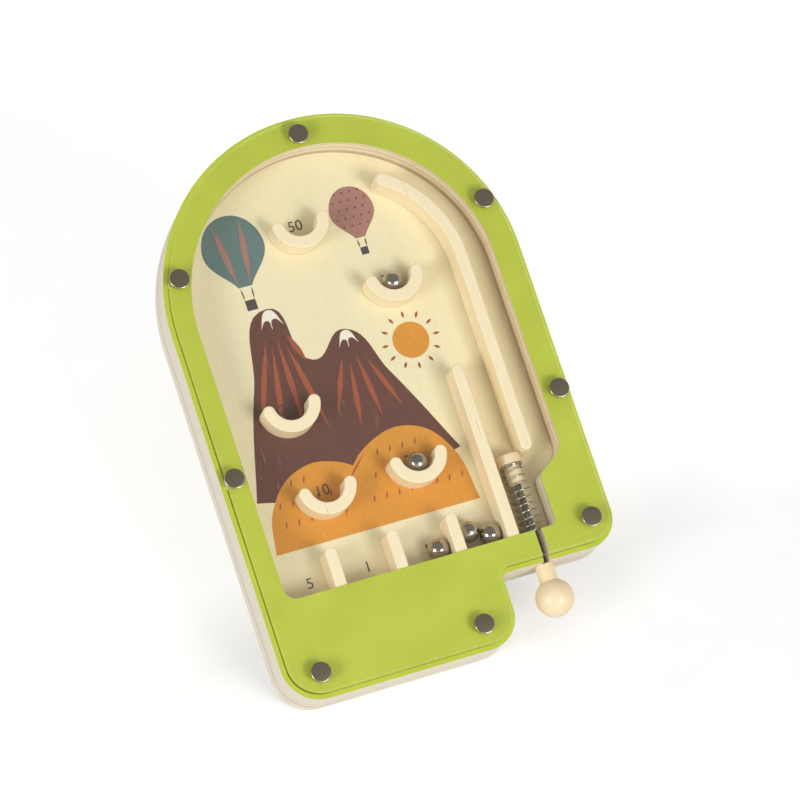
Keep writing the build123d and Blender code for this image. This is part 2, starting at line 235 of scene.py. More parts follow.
def open_group(name, inputs, outputs):
    """Start a node group with named inputs and outputs."""
    tree = bpy.data.node_groups.new(name, "ShaderNodeTree")
    for label, (kind, value) in inputs.items():
        socket = tree.interface.new_socket(label, in_out="INPUT", socket_type=kind)
        if value is not None:
            socket.default_value = value
    for label in outputs:
        tree.interface.new_socket(label, in_out="OUTPUT", socket_type="NodeSocketFloat")
    return tree, tree.nodes.new("NodeGroupInput").outputs, tree.nodes.new("NodeGroupOutput").inputs


print("node helpers ready")

# %% [markdown]
# ## Wood fibre, shared by all wooden pieces
#
# Birch is pale and quiet: fine fibres run along the grain, the tone drifts slowly
# across a board, and short brown flecks lie here and there. All three are noise that
# is stretched along one direction. As a node group the effect is built once, and
# each wood gives it its own stretch and fineness.

# %% Wood fibre group
wood_fibre, fibre_in, fibre_out = open_group(
    "wood_fibre",
    {
        "Place": ("NodeSocketVector", None),
        "Stretch": ("NodeSocketVector", (1.0, 0.06, 1.0)),
        "Fineness": ("NodeSocketFloat", 1.3),
    },
    ("Fibre", "Drift", "Fleck"),
)
fibre_detail = 6.0
fibre_roughness = 0.62
drift_scale = 0.11
fleck_scale = 0.75
fleck_start = 0.66
fleck_full = 0.76
along_grain = stretched(wood_fibre, fibre_in["Place"], fibre_in["Stretch"])
fine_noise = noise(
    wood_fibre, along_grain, fibre_in["Fineness"], fibre_detail, Roughness=fibre_roughness
)
slow_noise = noise(wood_fibre, along_grain, drift_scale, 3.0)
fleck_noise = noise(wood_fibre, along_grain, fleck_scale, 2.0)
wood_fibre.links.new(fine_noise, fibre_out["Fibre"])
wood_fibre.links.new(spread(wood_fibre, slow_noise, 0.3, 0.7), fibre_out["Drift"])
flecks = spread(wood_fibre, fleck_noise, fleck_start, fleck_full)
wood_fibre.links.new(flecks, fibre_out["Fleck"])
print("wood fibre group has", len(wood_fibre.nodes), "nodes")

# %% [markdown]
# ## Plywood edges
#
# Where plywood is sawn, its plies show as bands: end grain and long grain take turns,
# with a thin dark glue line between them. The bands follow the level above the table
# of the board, so the group divides the level by the thickness of a ply and looks at
# the whole part and at the remainder. A little noise keeps the lines from being ruled.

# %% Plywood edge group
ply_edge, ply_in, ply_out = open_group(
    "ply_edge",
    {"Place": ("NodeSocketVector", None), "Ply": ("NodeSocketFloat", 1.4)},
    ("Layer", "Glue"),
)
waver_scale = 0.08
waver_reach = 0.22
glue_start = 0.40
glue_full = 0.48
waver_noise = noise(ply_edge, ply_in["Place"], waver_scale, 3.0)
wavering = spread(ply_edge, waver_noise, 0.2, 0.8, -waver_reach, waver_reach)
ply_height = calculate(ply_edge, "ADD", split_place(ply_edge, ply_in["Place"])["Z"], wavering)
ply_count = calculate(ply_edge, "DIVIDE", ply_height, ply_in["Ply"])
ply_part = calculate(ply_edge, "FRACT", ply_count)
ply_pair = calculate(ply_edge, "FRACT", calculate(ply_edge, "MULTIPLY", ply_count, 0.5))
from_middle = calculate(ply_edge, "ABSOLUTE", calculate(ply_edge, "SUBTRACT", ply_part, 0.5))
ply_edge.links.new(calculate(ply_edge, "GREATER_THAN", ply_pair, 0.5), ply_out["Layer"])
ply_edge.links.new(spread(ply_edge, from_middle, glue_start, glue_full), ply_out["Glue"])
print("plywood edge group has", len(ply_edge.nodes), "nodes")

# %% [markdown]
# ## Film and streaks
#
# Paint, varnish and plastic are never quite even: the film swells and thins in soft
# clouds, and its skin has a faint orange peel. Metal shows fine streaks along the way
# that it was drawn or turned. These two small groups serve all of them.

# %% Film and streak groups
cloud_scale = 0.05
streak_scale = 4.0
film, film_in, film_out = open_group(
    "film",
    {"Place": ("NodeSocketVector", None), "Grit": ("NodeSocketFloat", 2.0)},
    ("Cloud", "Skin"),
)
cloud_noise = noise(film, film_in["Place"], cloud_scale, 4.0)
film.links.new(spread(film, cloud_noise, 0.3, 0.7), film_out["Cloud"])
film.links.new(noise(film, film_in["Place"], film_in["Grit"], 3.0), film_out["Skin"])

streaks, streak_in, streak_out = open_group(
    "streaks",
    {"Place": ("NodeSocketVector", None), "Stretch": ("NodeSocketVector", (1.0, 0.05, 1.0))},
    ("Streak",),
)
along_streaks = stretched(streaks, streak_in["Place"], streak_in["Stretch"])
streak_noise = noise(streaks, along_streaks, streak_scale, 5.0)
streaks.links.new(spread(streaks, streak_noise, 0.3, 0.7), streak_out["Streak"])
print("film and streak groups ready")

# %% [markdown]
# ## A blank material
#
# Each finish starts alike: one Principled shader, and the place of the surface in
# board millimetres. A Mapping node turns the object's own coordinates into those of
# the tilted board, so that grain and plies lie square to it and stay with the piece
# when it moves.


# %% Material starter
def start_material(name):
    """A new material, with its tree, its shader and board millimetres to draw in."""
    material = bpy.data.materials.new(name)
    material.use_nodes = True
    tree = material.node_tree
    tree.nodes.clear()
    shader = tree.nodes.new("ShaderNodeBsdfPrincipled")
    output = tree.nodes.new("ShaderNodeOutputMaterial")
    tree.links.new(shader.outputs[0], output.inputs["Surface"])
    own_place = tree.nodes.new("ShaderNodeTexCoord").outputs["Object"]
    turned = add_node(tree, "ShaderNodeMapping", Vector=own_place)
    turned.inputs["Location"].default_value = to_board.translation
    turned.inputs["Rotation"].default_value = to_board.to_euler()
    turned.inputs["Scale"].default_value = (1 / mm, 1 / mm, 1 / mm)
    return material, tree, shader, turned.outputs[0]


def use_group(tree, group, place, **inputs):
    """Place a node group in a material."""
    made = tree.nodes.new("ShaderNodeGroup")
    made.node_tree = group
    tree.links.new(place, made.inputs["Place"])
    for key, value in inputs.items():
        made.inputs[key].default_value = value
    return made.outputs


def relief(tree, shader, height, depth):
    """Raise the surface by a height pattern, as a bump of so many metres."""
    bump = add_node(tree, "ShaderNodeBump", Height=height, Distance=depth, Strength=1.0)
    tree.links.new(bump.outputs[0], shader.inputs["Normal"])


print("material starter ready")

# %% [markdown]
# ## Plain woods
#
# Cups, rails and dividers are pale solid wood, sanded and thinly varnished. The knob
# and striker are turned from the same wood, and the stand is plain plywood. They
# share one recipe: a light and a dark colour mixed by the fibres, brown flecks on
# top, and a roughness that rises where the fibres are open. Pieces that stand on the
# playfield turn brown in a narrow line round the foot, and turned ones have a coat of varnish.


# %% Plain wood recipe
wood_relief = 0.00002
drift_share = 0.35
fleck_share = 0.3
foot_line = (0.15, 0.5)
foot_line_share = 0.65
coat_roughness = 0.22


def plain_wood(name, light, dark, stretch, fineness=1.3, foot=None, roughness=0.42, varnish=0.0):
    """Sanded wood with its grain along the short side of the stretch."""
    material, tree, shader, place = start_material(name)
    grain = use_group(tree, wood_fibre, place, Stretch=stretch, Fineness=fineness)
    depth = spread(tree, grain["Fibre"], 0.35, 0.75)
    base = blend_colours(tree, depth, light, dark)
    drift = calculate(tree, "MULTIPLY", grain["Drift"], drift_share)
    drifted = blend_colours(tree, drift, base, dark)
    flecks = calculate(tree, "MULTIPLY", grain["Fleck"], fleck_share)
    wood = blend_colours(tree, flecks, drifted, fleck_brown)
    if foot is not None:
        level = split_place(tree, place)["Z"]
        low, high = foot_line
        near_foot = spread(tree, level, foot + low, foot + high, foot_line_share, 0.0)
        wood = blend_colours(tree, near_foot, wood, foot_brown)
    tree.links.new(wood, shader.inputs["Base Color"])
    open_fibre = spread(tree, grain["Fibre"], 0.3, 0.8, roughness, roughness + 0.14)
    tree.links.new(open_fibre, shader.inputs["Roughness"])
    shader.inputs["Coat Weight"].default_value = varnish
    shader.inputs["Coat Roughness"].default_value = coat_roughness
    relief(tree, shader, grain["Fibre"], wood_relief)
    return material


foot_brown = colour(140, 100, 60)
fleck_brown = colour(178, 136, 88)
cream = colour(254, 239, 203)
tan = colour(250, 229, 187)
pale_wood = plain_wood("pale_wood", cream, tan, (1.0, 0.05, 1.0), 1.3, playfield_level)
turned_wood = plain_wood(
    "turned_wood",
    colour(248, 228, 190),
    colour(240, 212, 166),
    (1.0, 0.05, 1.0),
    fineness=1.1,
    roughness=0.4,
    varnish=0.4,
)
stand_wood = plain_wood(
    "stand_wood", colour(238, 218, 178), colour(214, 184, 136), (1.0, 1.0, 0.05)
)
rails = ["curved_rail", "straight_rail"]
dividers = [f"divider_{number}" for number in (1, 2, 3)]
cups = [f"cup_{number}" for number in range(1, 6)]
for name in rails + dividers + cups:
    frame["nodes"][name].data.materials[0] = pale_wood
for name in ("stand_leg", "stand_block_left", "stand_block_right"):
    frame["nodes"][name].data.materials[0] = stand_wood
print("pale wood on", len(rails + dividers + cups), "solids, stand wood on 3")

# %% [markdown]
# ## Playfield board and back
#
# The playfield is thin plywood whose face carries a thin warm wash and a satin varnish,
# while its sawn edge shows three plies. One material does both, because the level on
# the board says which is which: the face is the highest surface, and all below it is
# edge. Under the spring and between it and the rail, a painted shadow darkens the wood
# to a dark strip. The back is bare plywood.
# Sawn edges are the same on every layer, so their colour comes from one function, which
# also darkens the joint between two layers.


# %% Sawn edges
layer_share = 0.8
joint_line = (0.2, 0.7)
joint_share = 0.75


def sawn_edge(tree, place, ply, joint, light, dark, glue_share=0.4):
    """Colour of a sawn plywood edge, with a dark line at the joint's level."""
    bands = use_group(tree, ply_edge, place, Ply=ply)
    grain = use_group(tree, wood_fibre, place, Stretch=(0.35, 0.35, 1.6), Fineness=1.4)
    in_layer = calculate(tree, "MULTIPLY", bands["Layer"], layer_share)
    edge = blend_colours(tree, in_layer, light, dark)
    edge = blend_colours(tree, spread(tree, grain["Fibre"], 0.4, 0.8, 0.0, 0.5), edge, dark)
    in_glue = calculate(tree, "MULTIPLY", bands["Glue"], glue_share)
    edge = blend_colours(tree, in_glue, edge, glue_line)
    level = split_place(tree, place)["Z"]
    away = calculate(tree, "ABSOLUTE", calculate(tree, "SUBTRACT", level, joint))
    edge = blend_colours(tree, spread(tree, away, *joint_line, joint_share, 0.0), edge, foot_brown)
    return edge, level, grain["Fibre"]


edge_light = colour(247, 240, 222)
edge_dark = colour(231, 219, 197)
glue_line = colour(190, 166, 138)
joint_level = board_box("back_board")[1].z
print("back and playfield meet at", round(joint_level, 2))

# %% Playfield face
playfield_face = colour(246, 235, 197)
playfield_shade = colour(238, 224, 180)
playfield_fibre = (1.0, 0.12, 1.0)
playfield_fineness = 1.3
playfield_drift = 0.3
playfield_ply, tree, shader, place = start_material("playfield_ply")
grain = use_group(tree, wood_fibre, place, Stretch=playfield_fibre, Fineness=playfield_fineness)
fibre_share = spread(tree, grain["Fibre"], 0.35, 0.8)
face_mix = blend_colours(tree, fibre_share, playfield_face, playfield_shade)
drift = calculate(tree, "MULTIPLY", grain["Drift"], playfield_drift)
face_mix = blend_colours(tree, drift, face_mix, playfield_shade)
print("playfield", round(playfield_level - joint_level, 1), "mm thick")

# %% Painted shadow under the spring
# Painted shadow: the spring and rod shade the lane floor beside them, so a dark strip is painted
# there.
painted_spring_shadow = colour(170, 152, 112)
shadow_length = 8.0
shadow_left = 0.3
shadow_fade = (-0.5, 2.0)
lane_side = board_box("straight_rail")[1].x
spring_low, spring_high = board_box("plunger_spring")
spring_middle = (spring_low.x + spring_high.x) / 2
spring_end = spring_high.y
fade_start, fade_end = (spring_middle + reach for reach in shadow_fade)
spot = split_place(tree, place)
shadow_limits = (
    calculate(tree, "GREATER_THAN", spot["X"], lane_side),
    spread(tree, spot["X"], fade_start, fade_end, 1.0, 0.0),
    spread(tree, spot["Y"], spring_end - shadow_length, spring_end, 1.0, shadow_left),
    calculate(tree, "LESS_THAN", spot["Y"], spring_end),
)
# The painted shadow runs from the rail to just past the spring's middle, along the spring, and
# thins near its upper end.
in_shadow = shadow_limits[0]
for limit in shadow_limits[1:]:
    in_shadow = calculate(tree, "MULTIPLY", in_shadow, limit)
face_mix = blend_colours(tree, in_shadow, face_mix, painted_spring_shadow)
print("painted shadow from x =", round(lane_side, 1), "to", round(fade_end, 1))

# %% Playfield finish
playfield_plies = 1.1
face_depth = (-0.12, -0.05)
edge_mix, level, fibre = sawn_edge(
    tree, place, playfield_plies, joint_level, edge_light, edge_dark
)
is_face = spread(tree, level, *(playfield_level + depth for depth in face_depth))
tree.links.new(blend_colours(tree, is_face, edge_mix, face_mix), shader.inputs["Base Color"])
tree.links.new(spread(tree, grain["Fibre"], 0.3, 0.8, 0.38, 0.5), shader.inputs["Roughness"])
relief(tree, shader, grain["Fibre"], wood_relief)
frame["nodes"]["playfield_board"].data.materials[0] = playfield_ply
print("playfield finish has", len(tree.nodes), "nodes")

# %% Back finish
back_light = colour(245, 234, 210)
back_dark = colour(228, 208, 172)
back_plies = 1.55
back_relief = 0.00003
back_level = board_box("back_board")[0].z
back_ply, tree, shader, place = start_material("back_ply")
edge_mix, level, fibre = sawn_edge(tree, place, back_plies, joint_level, edge_light, edge_dark)
grain = use_group(tree, wood_fibre, place, Stretch=(1.0, 0.05, 1.0), Fineness=1.2)
fibre_share = spread(tree, grain["Fibre"], 0.35, 0.75)
face_mix = blend_colours(tree, fibre_share, back_light, back_dark)
is_edge = spread(tree, level, *(back_level - depth for depth in reversed(face_depth)))
tree.links.new(blend_colours(tree, is_edge, face_mix, edge_mix), shader.inputs["Base Color"])
tree.links.new(spread(tree, fibre, 0.3, 0.8, 0.55, 0.7), shader.inputs["Roughness"])
relief(tree, shader, fibre, back_relief)
frame["nodes"]["back_board"].data.materials[0] = back_ply
print("back", round(joint_level - back_level, 1), "mm thick")

# %% [markdown]
# ## The green frame
#
# The frame is thick plywood whose top is painted green and whose sawn sides are left
# bare. Paint rolls a fraction of a millimetre over the edge, so the border between
# green and wood is a level with a little noise in it, and the rounded edge is painted a
# paler green, as a painted highlight. The window's walls face each other, so they get
# painted shade: they are darker, most of all near their foot, and their plies show as
# pinkish and tan bands. The walls are told from the outer sides by their distance from
# the middle of the arch.

# %% Green paint
green_light = colour(192, 204, 62)
green_deep = colour(183, 195, 54)
paint_grit = 1.6
frame_ply, tree, shader, place = start_material("frame_ply")
coat = use_group(tree, film, place, Grit=paint_grit)
green_mix = blend_colours(tree, coat["Cloud"], green_light, green_deep)
print("green paint mixed for", frame_ply.name)

# %% Sawn sides and the window's walls
# The walls' ply colours are pinker than the outer sides' and a little darker, as painted shade.
wall_light = colour(245, 234, 206)
wall_dark = colour(225, 207, 178)
# The next colour is painted shade for the foot of the window's walls.
wall_foot_shade = colour(150, 118, 78)
frame_plies = 1.75
wall_plies = 2.6
wall_glue = 0.7
wall_reach = 77
wall_end = -135
foot_shade = (2.0, 4.6)
foot_shade_share = 0.45
edge_mix, level, fibre = sawn_edge(
    tree, place, frame_plies, playfield_level, edge_light, edge_dark
)
wall_mix, level, fibre = sawn_edge(
    tree, place, wall_plies, playfield_level, wall_light, wall_dark, wall_glue
)
shade_low, shade_high = (playfield_level + rise for rise in foot_shade)
# Painted shade: the window's walls darken towards their foot.
near_foot = spread(tree, level, shade_low, shade_high, foot_shade_share, 0.0)
wall_mix = blend_colours(tree, near_foot, wall_mix, wall_foot_shade)
spot = split_place(tree, place)
above_middle = calculate(tree, "MAXIMUM", spot["Y"], 0.0)
side_square = calculate(tree, "MULTIPLY", spot["X"], spot["X"])
rise_square = calculate(tree, "MULTIPLY", above_middle, above_middle)
from_middle = calculate(tree, "SQRT", calculate(tree, "ADD", side_square, rise_square))
is_near = calculate(tree, "LESS_THAN", from_middle, wall_reach)
above_tail = calculate(tree, "GREATER_THAN", spot["Y"], wall_end)
in_window = calculate(tree, "MULTIPLY", is_near, above_tail)
edge_mix = blend_colours(tree, in_window, edge_mix, wall_mix)
print("the window's walls lie within", wall_reach, "mm of the middle")

# %% Frame finish
# The next colour is a paler green painted on the rounded top edge, as a painted highlight.
green_edge_highlight = colour(230, 231, 136)
paint_level = (-0.55, -0.45)
paint_waver = 0.08
edge_highlight_level = (-0.25, -0.03)
edge_highlight_share = 0.8
skin_relief = 0.00002
waver = spread(tree, fibre, 0.3, 0.8, -paint_waver, paint_waver)
is_paint = spread(tree, calculate(tree, "ADD", level, waver), *paint_level)
# Painted highlight: the paint just below the top, on the rounded edge, turns paler green.
on_edge_highlight = spread(tree, level, *edge_highlight_level, edge_highlight_share, 0.0)
green_mix = blend_colours(tree, on_edge_highlight, green_mix, green_edge_highlight)
tree.links.new(blend_colours(tree, is_paint, edge_mix, green_mix), shader.inputs["Base Color"])
tree.links.new(spread(tree, is_paint, 0.0, 1.0, 0.62, 0.4), shader.inputs["Roughness"])
relief(tree, shader, coat["Skin"], skin_relief)
print("frame finish has", len(tree.nodes), "nodes")

# %% [markdown]
# ## Metals
#
# The caps are dark nickel, the balls are polished steel, and the rod, spring and
# screws are bright drawn steel. All are fully metallic, and differ in colour and in
# how their streaks run. Drawn wire and rod have streaks along them, and turned caps
# have hardly any.


# %% Metal recipe
def metal(name, bright, dull, stretch, smooth, rough, depth=0.000003):
    """Metal whose colour and roughness follow fine streaks."""
    material, tree, shader, place = start_material(name)
    lines = use_group(tree, streaks, place, Stretch=stretch)["Streak"]
    tree.links.new(blend_colours(tree, lines, bright, dull), shader.inputs["Base Color"])
    tree.links.new(spread(tree, lines, 0.0, 1.0, smooth, rough), shader.inputs["Roughness"])
    shader.inputs["Metallic"].default_value = 1.0
    relief(tree, shader, lines, depth)
    return material


post_metal = metal(
    "post_metal", colour(186, 176, 150), colour(166, 156, 132), (1.0, 0.3, 1.0), 0.2, 0.3
)
ball_steel = metal(
    "ball_steel",
    colour(205, 196, 188),
    colour(194, 185, 176),
    (0.5, 0.5, 0.5),
    0.06,
    0.12,
    depth=0.000001,
)
rod_steel = metal(
    "rod_steel", colour(160, 154, 146), colour(126, 120, 112), (1.0, 0.04, 1.0), 0.2, 0.34
)
spring_wire = metal(
    "spring_wire", colour(226, 219, 206), colour(172, 163, 149), (1.0, 1.0, 1.0), 0.18, 0.32
)
screw_steel = metal(
    "screw_steel", colour(196, 192, 184), colour(172, 168, 160), (1.0, 0.2, 1.0), 0.25, 0.38
)
frame["nodes"]["plunger_rod"].data.materials[0] = rod_steel
frame["nodes"]["stand_hinge_pin"].data.materials[0] = rod_steel
frame["nodes"]["back_screws"].data.materials[0] = screw_steel
metals = (post_metal, ball_steel, rod_steel, spring_wire, screw_steel)
print("metals:", ", ".join(material.name for material in metals))

# %% [markdown]
# ## Clear cover plastic
#
# The cover is a clear sheet with polished edges. A real refracting shader shows the
# thickness at its rim, where the green below glows in the edge. Glass-like shaders
# throw dark shadows, though, because light that bends through them is hard to find
# by chance. The usual remedy is to let shadow and diffuse rays pass straight through
# a Transparent shader, so that the playfield is lit as under real plastic. Rays that
# enter at the rim are trapped between the two faces and would run out of bounces and
# turn black, so after two mirrorings they are let out the same way, a little dimmed.

# %% Clear plastic
clear_bend = 1.49
haze_grit = 0.4
haze_rough = 0.02
trapped_after = 1.5
trapped_tone = colour(196, 202, 158)
white = (1.0, 1.0, 1.0, 1.0)
clear_plastic, tree, shader, place = start_material("clear_plastic")
haze = use_group(tree, film, place, Grit=haze_grit)
shader.inputs["Base Color"].default_value = colour(253, 254, 252)
shader.inputs["Transmission Weight"].default_value = 1.0
shader.inputs["IOR"].default_value = clear_bend
tree.links.new(spread(tree, haze["Cloud"], 0.0, 1.0, 0.0, haze_rough), shader.inputs["Roughness"])
rays = tree.nodes.new("ShaderNodeLightPath").outputs
passes = calculate(tree, "MAXIMUM", rays["Is Shadow Ray"], rays["Is Diffuse Ray"])
trapped = calculate(tree, "GREATER_THAN", rays["Glossy Depth"], trapped_after)
passes = calculate(tree, "MAXIMUM", passes, trapped)
through = tree.nodes.new("ShaderNodeBsdfTransparent")
tree.links.new(blend_colours(tree, trapped, white, trapped_tone), through.inputs["Color"])
either = tree.nodes.new("ShaderNodeMixShader")
tree.links.new(passes, either.inputs[0])
tree.links.new(shader.outputs[0], either.inputs[1])
tree.links.new(through.outputs[0], either.inputs[2])
output = next(node for node in tree.nodes if node.type == "OUTPUT_MATERIAL")
tree.links.new(either.outputs[0], output.inputs["Surface"])
print("clear plastic ready")

# %% [markdown]
# ## Helpers for modelling by hand
#
# New pieces are made as one would make them with the mouse: add a primitive, go into
# edit mode, select by place, extrude, inset and bevel. Operators act on whatever is
# selected, so the first helper selects one piece alone. Two helpers finish a piece: one
# lays what was drawn flat in millimetres onto the tilted board and applies its place,
# and one gives it its material, its moving body and the solids whose place it takes.


# %% Selecting and editing
def only(*pieces):
    """Select these pieces and nothing else, with the first one active."""
    bpy.ops.object.select_all(action="DESELECT")
    for piece in pieces:
        piece.select_set(True)
    bpy.context.view_layer.objects.active = pieces[0]


def edit(piece, kind="FACE"):
    """Open a piece in edit mode with nothing selected."""
    only(piece)
    bpy.ops.object.mode_set(mode="EDIT")
    bpy.ops.mesh.select_mode(type=kind)
    bpy.ops.mesh.select_all(action="DESELECT")


def pick(piece, parts, test):
    """In edit mode, select the faces, edges or points for which a test holds."""
    shape = bmesh.from_edit_mesh(piece.data)
    found = [part for part in getattr(shape, parts) if test(part)]
    for part in found:
        part.select_set(True)
    bmesh.update_edit_mesh(piece.data)
    return len(found)


def apply_modifier(piece, kind, **settings):
    """Add a modifier with its settings and apply it."""
    only(piece)
    modifier = piece.modifiers.new(kind.lower(), kind)
    for key, value in settings.items():
        setattr(modifier, key, value)
    bpy.ops.object.modifier_apply(modifier=modifier.name)


print("editing helpers ready")

# %% Finishing a piece
drawn_gap = 0.0005
seated_gap = 0.000001


def tidy_mesh(piece, distance=drawn_gap):
    """Merge doubled points and turn all faces outwards."""
    edit(piece)
    bpy.ops.mesh.select_all(action="SELECT")
    bpy.ops.mesh.remove_doubles(threshold=distance)
    bpy.ops.mesh.normals_make_consistent(inside=False)
    bpy.ops.object.mode_set(mode="OBJECT")


def smooth(piece, degrees=32):
    """Shade round where the surface is round, and keep its sharp edges."""
    only(piece)
    bpy.ops.object.shade_smooth_by_angle(angle=math.radians(degrees))


def join(pieces, name):
    """Make one piece of several and name it."""
    only(*pieces)
    if len(pieces) > 1:
        bpy.ops.object.join()
    pieces[0].name = name
    pieces[0].data.name = name
    return pieces[0]


def seat(piece):
    """Lay a piece that was drawn flat in millimetres onto the tilted board."""
    bpy.context.view_layer.update()
    piece.matrix_world = board @ piece.matrix_world
    only(piece)
    bpy.ops.object.transform_apply(location=True, rotation=True, scale=True)


def dress(piece, material, body, slot, *nodes):
    """Give a finished piece its material, body and the solids that it replaces; slot is not used.
    """
    piece.data.materials.clear()
    piece.data.materials.append(material)
    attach(piece, body)
    if nodes:
        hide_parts(*nodes)
    print(piece.name, "has", len(piece.data.polygons), "faces")


print("points nearer than", drawn_gap, "mm are merged")

# %% [markdown]
# ## Frame with soft edges
#
# No sawn edge is knife sharp: sandpaper takes off a few tenths of a millimetre. The
# solid has the right outline but sharp edges, so a copy of it is merged into one
# closed mesh, its flat faces are freed of needless lines, and a narrow bevel runs round
# every sharp edge. The bevel is what catches the light along the rim.


# %% Soft edged copies
sharp_angle = 40
flat_angle = 0.5
merge_gap = 0.000002
bevel_steps = 2
frame_soft = 0.45


def soft_copy(node, name, width):
    """A copy of a solid with a narrow bevel on its sharp edges."""
    piece = frame["nodes"][node].copy()
    piece.data = piece.data.copy()
    piece.name = name
    piece.data.name = name
    piece.parent = None
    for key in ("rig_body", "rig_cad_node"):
        del piece[key]
    bpy.context.scene.collection.objects.link(piece)
    edit(piece)
    bpy.ops.mesh.select_all(action="SELECT")
    bpy.ops.mesh.remove_doubles(threshold=merge_gap)
    bpy.ops.mesh.customdata_custom_splitnormals_clear()
    bpy.ops.mesh.dissolve_limited(angle_limit=math.radians(flat_angle))
    bpy.ops.object.mode_set(mode="OBJECT")
    smooth(piece, sharp_angle)
    apply_modifier(
        piece,
        "BEVEL",
        width=width * mm,
        segments=bevel_steps,
        limit_method="ANGLE",
        angle_limit=math.radians(sharp_angle),
        use_clamp_overlap=True,
        harden_normals=True,
    )
    return piece


soft_frame = soft_copy("frame", "sawn_frame", frame_soft)
dress(soft_frame, frame_ply, "board", "green_ply", "frame")

# %% [markdown]
# ## Clear cover
#
# The cover lies on the frame. Two faces at exactly the same level confuse a renderer,
# because it can't tell which comes first, so the cover is a copy of its solid whose
# underside is lifted by a few hundredths of a millimetre, and which keeps its
# polished, slightly broken edge.

# %% Clear cover
cover_lift = 0.03
cover_soft = 0.28
underside_band = 0.2
cover_sheet = soft_copy("clear_cover", "cover_sheet", cover_soft)
under_level = min((to_board @ vertex.co).z for vertex in cover_sheet.data.vertices)
edit(cover_sheet, "VERT")
pick(
    cover_sheet,
    "verts",
    lambda vertex: (to_board @ vertex.co).z < under_level + underside_band,
)
bpy.ops.transform.translate(value=board_normal * cover_lift * mm)
bpy.ops.object.mode_set(mode="OBJECT")
dress(cover_sheet, clear_plastic, "board", "clear_sheet", "clear_cover")

# %% [markdown]
# ## Posts
#
# Eight posts clamp cover, frame and back. Each is a smooth round cap on a thinner
# barrel. One is modelled as a cylinder whose top edge is rounded, whose underside is
# inset to the barrel's width, and whose barrel is pulled down through the frame, all by
# one helper that the striker needs too. Then it is copied to the places of the solids.


# %% Places of the posts
post_reach = 12


def halfway(points, axis):
    """Halfway between the lowest and the highest value along one axis."""
    values = [point[axis] for point in points]
    return (min(values) + max(values)) / 2


def middles(node, reach):
    """Middle of each separate solid in a node, grouping points that lie close."""
    groups = []
    for point in board_points(node):
        group = next((group for group in groups if (group[0] - point).xy.length < reach), None)
        if group:
            group.append(point)
        else:
            groups.append([point])
    return [(halfway(group, 0), halfway(group, 1)) for group in groups]


post_places = middles("cover_posts", post_reach)
cap_radius = board_box("cover_posts")[1].x - max(x for x, y in post_places)
cap_height = board_box("cover_posts")[1].z - cover_top
print(len(post_places), "posts, with caps", round(2 * cap_radius, 2), "mm wide")

# %% A disc with a stem
round_sides = 64
round_steps = 5


def stemmed_disc(radius, height, stem_radius, stem_length, edge_round):
    """A disc with a rounded upper edge and a thinner stem pulled out of its underside."""
    bpy.ops.object.select_all(action="DESELECT")
    bpy.ops.mesh.primitive_cylinder_add(vertices=round_sides, radius=radius, depth=height)
    piece = bpy.context.object
    edit(piece, "EDGE")
    pick(piece, "edges", lambda edge: all(vertex.co.z > 0 for vertex in edge.verts))
    bpy.ops.mesh.bevel(offset=edge_round, segments=round_steps, affect="EDGES")
    bpy.ops.mesh.select_mode(type="FACE")
    bpy.ops.mesh.select_all(action="DESELECT")
    pick(piece, "faces", lambda face: face.normal.z < -0.9)
    bpy.ops.mesh.inset(thickness=radius - stem_radius)
    bpy.ops.mesh.extrude_region_move(TRANSFORM_OT_translate={"value": (0, 0, -stem_length)})
    bpy.ops.object.mode_set(mode="OBJECT")
    smooth(piece)
    return piece


print("round pieces have", round_sides, "sides")

# %% One post, copied
barrel_radius = 2.5
cap_round = 0.5
post = stemmed_disc(
    cap_radius, cap_height, barrel_radius, cover_top - playfield_level, cap_round
)
copies = []
for x, y in post_places:
    copy = post.copy()
    copy.data = post.data.copy()
    copy.location = (x, y, cover_top + cap_height / 2)
    bpy.context.scene.collection.objects.link(copy)
    copies.append(copy)
bpy.data.objects.remove(post)
capped_posts = join(copies, "capped_posts")
seat(capped_posts)
dress(capped_posts, post_metal, "board", "post_metal", "cover_posts")

# %% [markdown]
# ## Balls
#
# A sphere made of longitudes has poles, and polished steel shows them in its
# reflections. A cube that is subdivided and then cast onto a sphere has none, and its
# faces are all about the same size. A helper makes one in the place of each solid.


# %% Steel balls
ball_levels = 4


def steel_ball(number):
    """A ball of even squares in the place of one of the solids."""
    low, high = board_box(f"ball_{number}")
    radius = (high.x - low.x) / 2
    bpy.ops.object.select_all(action="DESELECT")
    bpy.ops.mesh.primitive_cube_add(size=2 * radius, location=(low + high) / 2)
    piece = bpy.context.object
    apply_modifier(piece, "SUBSURF", levels=ball_levels, render_levels=ball_levels)
    apply_modifier(
        piece,
        "CAST",
        cast_type="SPHERE",
        factor=1.0,
        radius=0.0,
        size=radius,
        use_radius_as_size=False,
    )
    piece.name = f"steel_ball_{number}"
    piece.data.name = piece.name
    only(piece)
    bpy.ops.object.shade_smooth()
    seat(piece)
    dress(piece, ball_steel, f"ball_{number}", "ball_steel", f"ball_{number}")


for number in range(1, 6):
    steel_ball(number)

# %% [markdown]
# ## Knob
#
# The knob is turned in one piece: a ball that runs into a short neck. A sphere is
# added with its axis along the neck, cut off where it is as wide as the neck, and the
# open ring is pulled out to the neck's length, closed and rounded.

